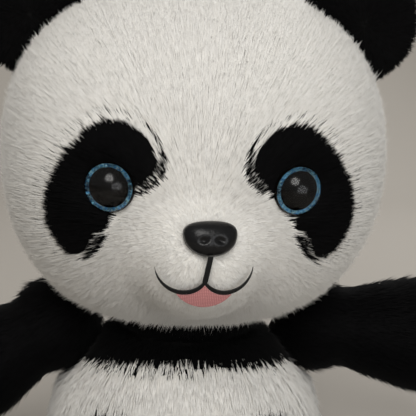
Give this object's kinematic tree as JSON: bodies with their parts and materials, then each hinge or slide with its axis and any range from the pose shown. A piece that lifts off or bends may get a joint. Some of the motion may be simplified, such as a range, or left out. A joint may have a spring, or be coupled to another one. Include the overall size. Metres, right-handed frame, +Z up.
{
  "type": "plush panda",
  "caption": "Seated plush panda with a large round head, fur covers over fibre stuffing, domed safety eyes, a moulded nose and a stitched smile.",
  "frame": {"origin": "centre of the flat seat the panda sits on", "axes": "+Z up, the panda faces -Y, and its own left side is +X"},
  "size_m": [0.3385, 0.2219, 0.293],
  "materials": {
    "white_pile": "long brushed plush pile, matte",
    "short_white_pile": "plush pile sheared short, matte",
    "black_pile": "long brushed plush pile, matte",
    "stuffing": "loose polyester fibre",
    "clear_lens": "clear polished plastic dome",
    "blue_glitter": "metallic glitter film",
    "gloss_black_plastic": "polished moulding",
    "black_plastic": "plain moulding",
    "white_plastic": "plain moulding",
    "black_thread": "satin-stitched embroidery thread",
    "pink_satin": "woven satin"
  },
  "bodies": {
    "torso": {"yoke_front_panel": "black_pile", "yoke_back_panel": "black_pile", "belly_panel": "white_pile", "back_left_panel": "white_pile", "back_right_panel": "white_pile", "seat_panel": "white_pile", "body_stuffing": "stuffing"},
    "neck": {"neck_stuffing": "stuffing"},
    "head": {"head_front_panel": "white_pile", "head_back_left_panel": "white_pile", "head_back_right_panel": "white_pile", "muzzle_panel": "short_white_pile", "left_eye_patch": "black_pile", "right_eye_patch": "black_pile", "head_stuffing": "stuffing", "nose_button": "gloss_black_plastic", "nose_washer": "white_plastic", "mouth_embroidery": "black_thread", "tongue_applique": "pink_satin", "left_eye_lens": "clear_lens", "left_eye_pupil": "gloss_black_plastic", "left_eye_glitter_ring": "blue_glitter", "left_eye_backing": "black_plastic", "left_eye_washer": "white_plastic", "right_eye_lens": "clear_lens", "right_eye_pupil": "gloss_black_plastic", "right_eye_glitter_ring": "blue_glitter", "right_eye_backing": "black_plastic", "right_eye_washer": "white_plastic"},
    "tail": {"tail_cover": "white_pile", "tail_stuffing": "stuffing"},
    "left_ear": {"left_ear_front": "black_pile", "left_ear_back": "black_pile", "left_ear_wadding": "stuffing"},
    "left_arm": {"left_arm_front_panel": "black_pile", "left_arm_back_panel": "black_pile", "left_arm_stuffing": "stuffing"},
    "left_leg": {"left_leg_top_panel": "black_pile", "left_leg_under_panel": "black_pile", "left_leg_stuffing": "stuffing", "left_sole_pad": "black_pile"},
    "right_ear": {"right_ear_front": "black_pile", "right_ear_back": "black_pile", "right_ear_wadding": "stuffing"},
    "right_arm": {"right_arm_front_panel": "black_pile", "right_arm_back_panel": "black_pile", "right_arm_stuffing": "stuffing"},
    "right_leg": {"right_leg_top_panel": "black_pile", "right_leg_under_panel": "black_pile", "right_leg_stuffing": "stuffing", "right_sole_pad": "black_pile"}
  },
  "joints": [
    {"name": "head_turn", "type": "hinge", "parent": "torso", "child": "neck", "pos_m": [0, -0.002, 0.111], "axis": [0, 0, 1], "range_deg": [-20, 20]},
    {"name": "head_nod", "type": "hinge", "parent": "neck", "child": "head", "pos_m": [0, -0.002, 0.111], "axis": [1, 0, 0], "range_deg": [-12, 8]},
    {"name": "tail_flick", "type": "hinge", "parent": "torso", "child": "tail", "pos_m": [0, 0.06, 0.033], "axis": [1, 0, 0], "range_deg": [-15, 15]},
    {"name": "left_arm_raise", "type": "hinge", "parent": "torso", "child": "left_arm", "pos_m": [0.073, 0.01, 0.097], "axis": [-0.1392, -0.9903, 0], "range_deg": [-35, 11]},
    {"name": "left_leg_raise", "type": "hinge", "parent": "torso", "child": "left_leg", "pos_m": [0.038, -0.044, 0.036], "axis": [-0.9659, -0.2588, 0], "range_deg": [-20, 20]},
    {"name": "left_ear_fold", "type": "hinge", "parent": "head", "child": "left_ear", "pos_m": [0.07995, -0.03033, 0.2659], "axis": [0.7139, 0.1812, -0.6763], "range_deg": [-30, 30]},
    {"name": "right_arm_raise", "type": "hinge", "parent": "torso", "child": "right_arm", "pos_m": [-0.073, 0.01, 0.097], "axis": [-0.1392, 0.9903, 0], "range_deg": [-10, 36]},
    {"name": "right_leg_raise", "type": "hinge", "parent": "torso", "child": "right_leg", "pos_m": [-0.038, -0.044, 0.036], "axis": [-0.9659, 0.2588, 0], "range_deg": [-20, 20]},
    {"name": "right_ear_fold", "type": "hinge", "parent": "head", "child": "right_ear", "pos_m": [-0.07995, -0.03033, 0.2659], "axis": [0.7139, -0.1812, 0.6763], "range_deg": [-30, 30]}
  ]
}
